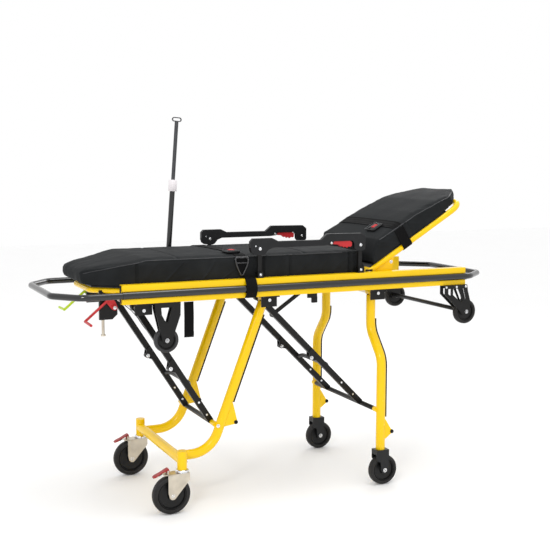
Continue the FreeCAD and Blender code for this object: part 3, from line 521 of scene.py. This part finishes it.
def disc_profile(radius, width, rim, hub):
    r, half, rim, hub = radius * MM, width * MM / 2, rim * MM, hub * MM
    right = [(rim + 0.0004, half * 0.7), (rim - 0.0015, half * 0.86), (rim - 0.0035, half * 0.84),
             (rim - 0.006, half * 0.42), (rim * 0.62, half * 0.3), (hub + 0.006, half * 0.42),
             (hub + 0.002, half * 0.9), (hub, half + 0.0003), (hub * 0.62, half + 0.0003),
             (hub * 0.55, half * 0.9)]
    return right + [(a, -h) for a, h in reversed(right)]


def detailed_wheel(node, body, centre, radius, width, hub, crown=7, look=TYRE):
    """Tyre and moulded disc that stand for a turned CAD wheel."""
    matrix = facing(centre, (0, 1, 0))
    rim = radius * 0.74
    work = bmesh.new()
    add_lathe(work, tyre_profile(radius, width, rim, crown), matrix, 72)
    tyre = finish_piece(mesh_from(node + "_tyre", work), look, body, turn=32)
    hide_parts(node)
    work = bmesh.new()
    add_lathe(work, disc_profile(radius, width, rim, hub), matrix, 60)
    finish_piece(mesh_from(node + "_disc", work), DISC, body, turn=32)


def axle_bolts(name, body, place, half_width, radius, height):
    """A bolt head on each end of an axle across the trolley."""
    bolts(name, body, [(at(place[0], place[1] + s * half_width, place[2]), (0, s, 0), radius, height)
                       for s in (-1, 1)])


for side, sign in SIDES:
    caster = (CASTER_AXLE_X, sign * CASTER_LINE, CASTER_RADIUS)
    head_wheel = (HEAD_WHEEL_X, sign * HEAD_WHEEL_LINE, HEAD_WHEEL_RADIUS)
    loading = (LOADING_X, sign * LOADING_LINE, LOADING_LEVEL)
    detailed_wheel("caster_wheel_" + side, "caster_wheel_" + side, at(*caster), CASTER_RADIUS, 34, 13,
                   crown=9)
    detailed_wheel("head_wheel_" + side, "head_wheel_" + side, at(*head_wheel), HEAD_WHEEL_RADIUS, 32,
                   12, crown=7)
    detailed_wheel("loading_wheel_" + side, "loading_wheel_" + side, at(*loading), 52.5, 26, 10, crown=6)
    axle_bolts("caster_bolts_" + side, "caster_fork_" + side, caster, 24.2, 5.2, 4.2)
    axle_bolts("head_wheel_bolts_" + side, "head_legs", head_wheel, 22.2, 6.0, 4.5)
    axle_bolts("loading_wheel_bolts_" + side, "frame", loading, 19.2, 5.6, 4.2)
detailed_wheel("transit_wheel", "transit_wheel", at(TRANSIT_X, TRANSIT_LINE, TRANSIT_LEVEL), 47.5, 22, 9,
               crown=4, look=GREY_TYRE)
bolts("transit_wheel_bolts", "frame", [(at(TRANSIT_X, -285.7, TRANSIT_LEVEL), (0, -1, 0), 5.6, 4.0),
                                       (at(TRANSIT_X, -254.4, TRANSIT_LEVEL), (0, 1, 0), 5.6, 4.0)])

# caster race: chrome ring, ball groove and the zinc dome above the fork
for side, sign in SIDES:
    work = bmesh.new()
    ring = [(14, 158.2), (25.2, 158.2), (26.8, 159.0), (26.8, 160.8), (25.2, 161.3), (25.2, 161.9),
            (26.6, 162.5), (26.6, 164.6), (25.8, 166.2), (23.6, 168.4), (21.0, 169.2), (19.8, 169.2),
            (19.8, 163.8), (14, 163.8)]
    add_lathe(work, [(r * MM, z * MM) for r, z in ring],
              Matrix.Translation(at(STEM_X, sign * CASTER_LINE, 0)), 48)
    finish_piece(mesh_from("caster_race_" + side, work), CHROME, "caster_fork_" + side)

# brake pedals: waisted plate with ribs, hinge barrel and the steel brake foot below
PEDAL_HALF = [(0, 11), (5, 13.6), (20, 13.2), (30, 8.4), (38, 8.4), (47, 13.4), (60, 13.8), (68, 8)]
PEDAL_OUTLINE = PEDAL_HALF + [(u, -v) for u, v in reversed(PEDAL_HALF)]
for side, sign in SIDES:
    line = sign * CASTER_LINE
    along = Vector((-62, 0, -29.4)).normalized()
    across = Vector((0, 1, 0))
    below = along.cross(across)
    lie = Matrix((along, across, below)).transposed().to_4x4()
    lie.translation = at(-526, line, 178.4)
    work = bmesh.new()
    add_plate(work, PEDAL_OUTLINE, 4.4, lie, 1.3)
    for u, wide in ((12, 18), (53, 18), (59, 14)):
        add_block(work, lie @ Matrix.Translation(at(u, 0, -2.4)), (2.2, wide, 1.6), 0.6, 1)
    add_lathe(work, [(0.0035, -0.009), (0.0072, -0.009), (0.0076, -0.008), (0.0076, 0.008),
                     (0.0072, 0.009), (0.0035, 0.009)],
              facing(at(PEDAL_HINGE[0], line, PEDAL_HINGE[1]), (0, 1, 0)), 28)
    pedal = finish_piece(mesh_from("brake_pedal_" + side, work), PEDAL_RED, "caster_pedal_" + side,
                         turn=38)
    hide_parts("caster_pedal_" + side)
    work = bmesh.new()
    add_block(work, lie @ Matrix.Translation(at(38, 0, 4.8)), (16, 9, 7), 1.6, 2)
    add_block(work, lie @ Matrix.Translation(at(47, 0, 4.6)), (14, 12, 2.4), 0.8, 1)
    finish_piece(mesh_from("brake_foot_" + side, work), DARK_STEEL, "caster_pedal_" + side)

# ------------------------------------------------------------------ mattress
BACK_HINGE = at(BACK_HINGE_X, 0, BACK_HINGE_LEVEL)
BACK = Matrix.Translation(BACK_HINGE) @ Matrix.Rotation(math.radians(-BACK_ANGLE), 4, "Y")
SEAT = Matrix.Identity(4)


def simulate(pad, frames=20, pressure=4.0):
    """Inflate a closed cloth and return its points, gravity off."""
    modifier = pad.modifiers.new("cloth", "CLOTH")
    settings = modifier.settings
    settings.quality = 4
    settings.use_pressure = True
    settings.uniform_pressure_force = pressure
    settings.effector_weights.gravity = 0
    modifier.point_cache.frame_start = 1
    modifier.point_cache.frame_end = frames
    for number in range(1, frames + 1):
        scene.frame_set(number)
    done = pad.evaluated_get(bpy.context.evaluated_depsgraph_get())
    points = [vert.co.copy() for vert in done.data.vertices]
    pad.modifiers.remove(modifier)
    scene.frame_set(1)
    return points


def bell(distance, width):
    return math.exp(-(distance / width) ** 2)


def ramp(value, low, high):
    share = min(1.0, max(0.0, (value - low) / (high - low)))
    return share * share * (3 - 2 * share)


def soft_pad(node, name, body, local, voxel, inset, cap, floor, sew):
    """Swell the plain solid, press its underside flat, then sew and crease it."""
    pad = new_object(name, nodes[node].data.copy())
    for kind, label in (("WELD", "weld"), ("REMESH", "voxel"), ("SMOOTH", "even")):
        pad.modifiers.new(label, kind)
    pad.modifiers["voxel"].mode = "VOXEL"
    pad.modifiers["voxel"].voxel_size = voxel * MM
    pad.modifiers["even"].iterations = 2
    bpy.context.view_layer.update()
    done = pad.evaluated_get(bpy.context.evaluated_depsgraph_get())
    mesh = bpy.data.meshes.new_from_object(done)
    pad.modifiers.clear()
    pad.data = mesh
    rest = [vert.co.copy() for vert in mesh.vertices]
    normals = [vert.normal.copy() for vert in mesh.vertices]
    for vert, normal in zip(mesh.vertices, normals):
        vert.co = vert.co - normal * inset * MM
    start = [vert.co.copy() for vert in mesh.vertices]
    swollen = simulate(pad)
    back_to_local = local.inverted()
    turned_back = back_to_local.to_3x3()
    homes = [back_to_local @ point for point in rest]
    fresh = []
    for was, grown in zip(start, swollen):
        move = grown - was
        if move.length > cap * MM:
            move = move.normalized() * cap * MM
        fresh.append(back_to_local @ (was + move))
    for axis in (0, 1):
        # bring the swollen cover back out to the width and length of the pad
        low, high = min(p[axis] for p in homes), max(p[axis] for p in homes)
        now_low, now_high = min(p[axis] for p in fresh), max(p[axis] for p in fresh)
        for point in fresh:
            point[axis] = low + (point[axis] - now_low) * (high - low) / (now_high - now_low)
    for vert, point, home, normal in zip(mesh.vertices, fresh, homes, normals):
        under = ramp(-(turned_back @ normal).z, 0.3, 0.8)
        point.z = point.z * (1 - under) + home.z * under
        vert.co = local @ point
    mesh.update()
    # finer cover, then seams and creases along its own normals
    subdivide(pad)
    bpy.context.view_layer.update()
    mesh = bpy.data.meshes.new_from_object(pad.evaluated_get(bpy.context.evaluated_depsgraph_get()))
    pad.modifiers.clear()
    pad.data = mesh
    moves = [sew(back_to_local @ vert.co, turned_back @ vert.normal) for vert in mesh.vertices]
    for vert, move, normal in zip(mesh.vertices, moves, [v.normal.copy() for v in mesh.vertices]):
        point = back_to_local @ (vert.co + normal * move)
        point.z = max(point.z, floor * MM)
        vert.co = local @ point
    mesh.update()
    finish_piece(pad, MATTRESS, body, turn=180)
    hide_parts(node)
    return pad


SEAT_SEAMS = (-631, -119, -3, 262)
SEAT_TOP_SEAMS = (-470, 60)


def sew_seat(point, out):
    """Seams across the sides and slanting creases between them, as a move along the normal."""
    x, y, z = point
    side = ramp(abs(out.y), 0.6, 0.9)
    top = ramp(out.z, 0.6, 0.95)
    move = 0.0
    for seam in SEAT_SEAMS:
        gap = x - seam * MM
        move -= side * (0.006 * bell(gap, 0.005) - 0.0022 * bell(abs(gap) - 0.013, 0.007))
    for seam in SEAT_TOP_SEAMS:
        move -= top * 0.003 * bell(x - seam * MM, 0.006)
    edge = 0.964 - 0.04 * (1 - ramp(x, -0.82, -0.59))
    move -= ramp(abs(out.y), 0.3, 0.6) * 0.002 * bell(z - edge, 0.004)
    slant = x * 0.66 - z * 0.75
    along = x * 0.75 + z * 0.66
    fold = noise.noise(Vector((slant * 30, along * 5, y * 2)))
    ridge = max(0.0, 1 - abs(fold) * 4.2) ** 2
    reach = ramp(x, -0.62, -0.5) * (1 - ramp(x, -0.3, -0.2)) + 0.4 * ramp(x, -0.1, 0.0)
    move += side * ridge * 0.0062 * reach * ramp(z, 0.88, 0.9) * (1 - ramp(z, 0.95, 0.972))
    end = 1 - ramp(x, -0.84, -0.66)
    crease = noise.noise(Vector((x * 9, y * 16, z * 26)))
    move += (0.0028 * end + 0.0010) * crease
    move += 0.0012 * noise.noise(point * 30) * (1 - top * 0.5)
    move += top * 0.0035 * (1 - min(1.0, abs(y) / 0.25) ** 2)
    return move


def sew_back(point, out):
    x, y, z = point
    side = ramp(abs(out.y), 0.6, 0.9)
    top = ramp(out.z, 0.6, 0.95)
    move = -side * 0.0028 * bell(x - 0.262, 0.0045) - side * 0.002 * bell(x - 0.43, 0.006)
    fold = noise.noise(Vector((x * 11, y * 7, z * 20)))
    move += 0.0022 * fold * (1 - top * 0.4)
    ridge = max(0.0, 1 - abs(noise.noise(Vector((x * 22 + z * 30, y * 2, 4.0)))) * 4) ** 2
    move += side * 0.003 * ridge
    move += top * 0.003 * (1 - min(1.0, abs(y) / 0.24) ** 2)
    return move


seat_pad = soft_pad("mattress_seat", "seat_mattress", "frame", SEAT, 7, 5, 7, 876.8, sew_seat)
back_pad = soft_pad("mattress_back", "back_mattress", "backrest", BACK, 7, 5, 7, 15.9, sew_back)


def tree_of(pad, local):
    """Ray-casting tree of a finished pad, in a local frame."""
    done = pad.evaluated_get(bpy.context.evaluated_depsgraph_get())
    mesh = done.to_mesh()
    to_local = local.inverted() @ pad.matrix_world
    verts = [to_local @ vert.co for vert in mesh.vertices]
    faces = [tuple(face.vertices) for face in mesh.polygons]
    done.to_mesh_clear()
    return BVHTree.FromPolygons(verts, faces)


bpy.context.view_layer.update()
seat_tree = tree_of(seat_pad, SEAT)
back_tree = tree_of(back_pad, BACK)


def strike(tree, start, direction, lift=0.0):
    """Where a ray meets the pad, lifted off its surface; past its edge, the nearest point of it."""
    direction = Vector(direction).normalized()
    hit = tree.ray_cast(Vector(start), direction)[0]
    if hit is None:
        hit = tree.find_nearest(Vector(start) + direction * 0.12)[0]
    return hit - direction * lift


def piping(name, tree, local, lines, body):
    """Round cord sewn along the top edges, following the pad."""
    for number, line in enumerate(lines):
        points = []
        for start, direction in line:
            hit = tree.ray_cast(start, direction)[0]
            if hit is not None:
                points.append(local @ (hit + direction * 0.0006))
        if len(points) > 3:
            curve_tube("%s_%d" % (name, number), relax(points, 2), 1.9, body, THREAD, steps=2)


def edge_line(stations, side, steps=14):
    """Aims for the piping between stations of (x, half width, level)."""
    line = []
    direction = Vector((0, -side, -1)).normalized()
    for start, end in zip(stations, stations[1:]):
        for k in range(steps):
            x, wide, level = [a + (b - a) * k / steps for a, b in zip(start, end)]
            line.append((at(x, side * (wide + 60), level + 60), direction))
    return line


piping("seat_piping", seat_tree, SEAT, 
       [edge_line(((-806, 152, 932), (-640, 249, 966), (-592, 250, 977), (292, 250, 977)), s)
        for s in (-1, 1)], "frame")
piping("back_piping", back_tree, BACK, 
       [edge_line(((112, 245, 92), (320, 245, 89), (424, 245, 76), (500, 224, 58), (560, 160, 44)), s)
        for s in (-1, 1)], "backrest")

# ------------------------------------------------------------------ straps
LAP_ROUTE = {"far": -226, "ring": -213, "wrap": -191}
top_points = []
for k in range(25):
    y = 238 - 476 * k / 24
    x = LAP_ROUTE["far"] + (LAP_ROUTE["ring"] - LAP_ROUTE["far"]) * k / 24
    top_points.append(strike(seat_tree, at(x, y, 1100), (0, 0, -1), 0.0016))


def side_run(sign, x_high, x_low):
    """Down a mattress side and round the rail and its bumper tube."""
    run = []
    for level in (962, 945, 925, 905):
        run.append(strike(seat_tree, at(x_high, sign * 330, level), (0, -sign, 0), 0.0018))
    run += [at(x_low, sign * 262, 893.5), at(x_low, sign * 274, 890.6), at(x_low, sign * 286.5, 889.2),
            at(x_low, sign * 296, 868), at(x_low, sign * 301.6, 856), at(x_low, sign * 302, 850),
            at(x_low, sign * 301.6, 844), at(x_low, sign * 296, 832), at(x_low, sign * 286.5, 814.4),
            at(x_low, sign * 274, 814), at(x_low, sign * 258, 814)]
    return run


far_run = side_run(1, LAP_ROUTE["far"], LAP_ROUTE["far"])
near_run = side_run(-1, LAP_ROUTE["ring"], LAP_ROUTE["wrap"])
lap_points = relax(chain(far_run[::-1] + top_points + near_run, 0.006), 3)


def gathered(point):
    """The near end of the lap strap is drawn together below its guide."""
    near = ramp(-point.y, 0.24, 0.25) * (1 - ramp(-point.y, 0.262, 0.28))
    return 1 - 0.55 * near * bell(point.z - 0.904, 0.022)


lap_strap = webbing_band("lap_webbing", lap_points, (1, 0, 0), 46, 3.0, "frame", seed=3, gather=gathered)
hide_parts("lap_strap")
tail_points = relax(chain([at(-437, -268, 812), at(-437.5, -270.5, 780), at(-438.5, -272.5, 735),
                           at(-438, -270, 690), at(-438, -269, 678)], 0.008), 2)
webbing_band("strap_tail", tail_points, (1, 0, 0), 38, 2.4, "frame", seed=5)
fold_points = relax(chain([at(-438, -272.6, 700), at(-438, -272.8, 684), at(-438, -270.6, 677.5)], 0.004), 1)
webbing_band("strap_tail_hem", fold_points, (1, 0, 0), 37.4, 1.8, "frame", seed=6)

# belt guide at the near edge of the mattress
RING = paint("guide_ring", (0.022, 0.022, 0.024), 0.24, grain=1500, specular=0.6)
guide_corners = [(-25, 3), (-26, -6), (-8, -54), (-3, -62), (3, -62), (8, -54), (26, -6), (25, 3), (0, 5)]
guide_line = []
for across, down in guide_corners:
    place = at(LAP_ROUTE["ring"] + across, -330, 962 + down)
    guide_line.append(strike(seat_tree, place, (0, 1, 0), 0.0062))
curve_tube("belt_guide", guide_line, 3.3, "frame", RING, cyclic=True, steps=10)
bar_line = [strike(seat_tree, at(LAP_ROUTE["ring"] + across, -330, 947), (0, 1, 0), 0.0066)
            for across in (-21, -8, 8, 21)]
curve_tube("belt_guide_bar", bar_line, 2.6, "frame", RING)

# chest strap round the backrest and its frame
chest_points = []
CHEST = 215
for k in range(25):
    y = -236 + 472 * k / 24
    chest_points.append(strike(back_tree, at(CHEST, y, 200), (0, 0, -1), 0.0016))
right_side = [strike(back_tree, at(CHEST, 320, level), (0, -1, 0), 0.002) for level in (78, 60, 42, 26)]
under = [at(CHEST, 247, 10), at(CHEST, 246.5, -6), at(CHEST, 240, -13.4), at(CHEST, 226, -14.6)]
mirror = Matrix.Diagonal((1, -1, 1))
left_side = [strike(back_tree, at(CHEST, -320, level), (0, 1, 0), 0.002) for level in (26, 42, 60, 78)]
loop = chest_points + right_side + under + [mirror @ p for p in reversed(under)] + left_side
chest_loop = relax(chain(loop, 0.006, closed=True), 3, closed=True)
chest_strap = webbing_band("chest_webbing", [BACK @ p for p in chest_loop],
                           (BACK.to_3x3() @ Vector((1, 0, 0))), 47, 3.0, "backrest", closed=True, seed=9)
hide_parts("chest_strap")


def buckle(prefix, body, button_body, node, button_node, place, local):
    """Push-button buckle: crowned housing, well, tongue plate and red button."""
    matrix = local @ Matrix.Translation(at(*place))
    work = bmesh.new()
    add_block(work, matrix @ Matrix.Translation(at(29, 33, 5)), (54, 62, 9.5), 3.6, 3)
    add_block(work, matrix @ Matrix.Translation(at(29, 54, 9)), (44, 15, 5), 2.0, 2)
    add_block(work, matrix @ Matrix.Translation(at(29, 12, 9)), (44, 15, 5), 2.0, 2)
    for x in (11, 47):
        add_block(work, matrix @ Matrix.Translation(at(x, 33, 9)), (8, 50, 5), 1.8, 2)
    shell = finish_piece(mesh_from(prefix + "_housing", work), PLASTIC, body, turn=40)
    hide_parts(node)
    work = bmesh.new()
    add_block(work, matrix @ Matrix.Translation(at(29, 33, 10.6)), (24, 24, 4.4), 1.7, 3)
    for y in (27, 33, 39):
        add_block(work, matrix @ Matrix.Translation(at(29, y, 12.9)), (17, 1.6, 1.0), 0.35, 1)
    press = finish_piece(mesh_from(prefix + "_press", work), RED, button_body, turn=40)
    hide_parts(button_node)
    frame_line = [matrix @ at(*place) for place in
                  ((7, 44, 12.6), (5, 62, 11.6), (6, 80, 7), (13, 87, 5.4), (45, 87, 5.4), (52, 80, 7),
                   (53, 62, 11.6), (51, 44, 12.6), (29, 42.5, 13.2))]
    curve_tube(prefix + "_tongue", frame_line, 1.5, body, DARK_STEEL, cyclic=True, steps=8)


buckle("lap_buckle", "frame", "lap_buckle_button", "lap_buckle", "lap_buckle_button",
       (-258, -212, 981.5), SEAT)
buckle("chest_buckle", "backrest", "chest_buckle_button", "chest_buckle", "chest_buckle_button",
       (150, -150, 95.5), BACK)

# ------------------------------------------------------------------ bolts, rivets, cables and links
GUARD_SCREWS = {"guard_arm_": [(GUARD_FRONT_X, GUARD_HIGH, 4.4), (GUARD_REAR_X, GUARD_HIGH, 4.4),
                               (163, 1013, 3.4), (-166, 1012, 2.2)],
                "frame": [(GUARD_FRONT_X, GUARD_LOW, 3.6), (GUARD_REAR_X, GUARD_LOW, 3.6)]}
for side, sign in SIDES:
    for stem, spots in GUARD_SCREWS.items():
        body = stem if stem == "frame" else stem + side
        reach = 13.9 if stem == "frame" else 9.7
        bolts("guard_screws_%s_%s" % (stem.strip("_"), side), body,
              [(at(x, sign * GUARD_LINE + s * reach, z), (0, s, 0), r, 2.4)
               for x, z, r in spots for s in (-1, 1)])


def along_brace(pivot, foot, distance, drop, y):
    """A point of a brace bar: distance along it and drop below its middle line."""
    start, end = Vector((pivot[0], 0, pivot[1])), Vector((foot[0], 0, foot[1]))
    run = (end - start).normalized()
    up = Vector((-run.z, 0, run.x))
    point = start + run * distance - up * drop
    return at(point.x, y, point.z)


BRACES = (("foot", (-610, 787), (-305, 308), 284, (469, 531)),
          ("head", (-100, 797), (375, 316), 356, (540, 618)))
for name, pivot, foot, knee, rivet_rows in BRACES:
    knee_bolts = [(along_brace(pivot, foot, knee, 20, line + s * 14.2), (0, s, 0), 5.6, 4.2)
                  for line in BRACE_LINES for s in (-1, 1)]
    bolts(name + "_knee_bolts", name + "_brace_upper", knee_bolts)
    rivets = [(along_brace(pivot, foot, row, 0, line + s * 9.7), (0, s, 0), 3.0, 1.8)
              for row in rivet_rows for line in BRACE_LINES for s in (-1, 1)]
    bolts(name + "_brace_rivets", name + "_brace_lower", rivets)
    # bowed grip bar, in grey, over the CAD bar
    grip_at = {"foot": 392, "head": 452}[name]
    grip = [along_brace(pivot, foot, grip_at, -rise, y) for y, rise in
            ((-134, 5), (-124, 10), (-111, 14.5), (-90, 16.5), (-40, 17), (0, 17.2), (40, 17), (90, 16.5),
             (111, 14.5), (124, 10), (134, 5))]
    curve_tube(name + "_brace_grip", grip, 9.4, name + "_brace_lower", GREY, steps=4)

bolts("foot_lug_bolts", "foot_legs",
      [(at(-305, s * 206 + s * 19.5, 308), (0, s, 0), 5.0, 3.6) for s in (-1, 1)])
bolts("stem_set_screws", "foot_legs",
      [(at(-449.6, s * CASTER_LINE, 196), (1, 0, 0), 3.6, 3.0) for s in (-1, 1)])
bolts("back_hinge_bolts", "frame",
      [(at(BACK_HINGE_X, s * 250.2, BACK_HINGE_LEVEL), (0, s, 0), 6.2, 3.6) for s in (-1, 1)])
bolts("loading_bracket_screws", "frame",
      [(at(x, s * 300.2, 808.5), (0, s, 0), 3.4, 2.2) for s in (-1, 1) for x in (697, 748, 795)])
bolts("back_plate_bolts", "backrest",
      [(BACK @ at(118, s * 235.2, -22), (0, s, 0), 5.0, 3.2) for s in (-1, 1)])
bolts("lever_pins", "frame", [(at(-696, s * 176.2, 792), (0, s, 0), 4.6, 3.0) for s in (-1, 1)])

# release cables from the levers to the brace lugs, on the frame side
CABLE_ROUTES = {
    "near": [(-676, -118, 812), (-640, -112, 790), (-600, -110, 752), (-566, -112, 702),
             (-553, -116, 684)],
    "far": [(-676, 118, 812), (-640, 112, 792), (-598, 110, 756), (-566, 112, 708), (-552, 116, 688)],
}
for name, points in CABLE_ROUTES.items():
    curve_tube("release_cable_" + name, [at(*p) for p in points], 1.5, "frame", RUBBER)

# slanting link to the toothed catch under the frame
work = bmesh.new()
low, high = at(-22, -118, 716), at(112, -118, 806)
middle = (low + high) / 2
turn = facing(middle, high - low)
add_block(work, turn, (11, 15, (high - low).length / MM), 2.4, 2)
add_lathe(work, [(0, -0.008), (0.011, -0.008), (0.012, -0.006), (0.012, 0.006), (0.011, 0.008), (0, 0.008)],
          facing(low, (0, 1, 0)), 28, closed=False)
for x, z, wide, tall in ((150, 806, 64, 22), (158, 786, 44, 24), (168, 766, 26, 26)):
    add_block(work, Matrix.Translation(at(x, -118, z)), (wide, 10, tall), 2.5, 2)
finish_piece(mesh_from("leg_release_link", work), BLACK_PAINT, "frame", turn=40)

# pole: white collar over the telescopic joint, and the ferrule at its foot
lean = Matrix.Translation(at(-338, 268, 892)) @ Matrix.Rotation(math.radians(4.45), 4, "Y")
work = bmesh.new()
collar = [(8.6, 318), (17.6, 318), (18.2, 319.4), (18.2, 364.4), (17.4, 366), (8.6, 366)]
add_lathe(work, [(r * MM, z * MM) for r, z in collar], lean, 40)
finish_piece(mesh_from("pole_collar", work), WHITE, "frame")
work = bmesh.new()
ferrule = [(11.2, 24), (14.6, 24), (15.2, 25.5), (15.2, 40), (13.6, 44), (11.2, 44.5)]
add_lathe(work, [(r * MM, z * MM) for r, z in ferrule], lean, 40)
finish_piece(mesh_from("pole_ferrule", work), PLASTIC, "frame")

# rubber end plugs of the rails and tubes
work = bmesh.new()
for s in (-1, 1):
    for x in RAIL_ENDS:
        add_block(work, Matrix.Translation(at(x, s * RAIL_MIDDLE, RAIL_LEVEL)), (2.4, 19, 66), 0.9, 2)
finish_piece(mesh_from("rail_end_plugs", work), PLASTIC, "frame", turn=40)

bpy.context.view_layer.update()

# ------------------------------------------------------------------ pale floor
floor_mesh = bmesh.new()
bmesh.ops.create_grid(floor_mesh, x_segments=1, y_segments=1, size=12)
floor = mesh_from("floor", floor_mesh)
floor.location.z = -0.0005
floor_shader = Shader("pale_floor")
floor.data.materials.append(floor_shader.finish(
    Base_Color=floor_shader.mix(floor_shader.noise(1.5), (0.97, 0.97, 0.97, 1), (0.99, 0.99, 0.99, 1)),
    Roughness=0.7))
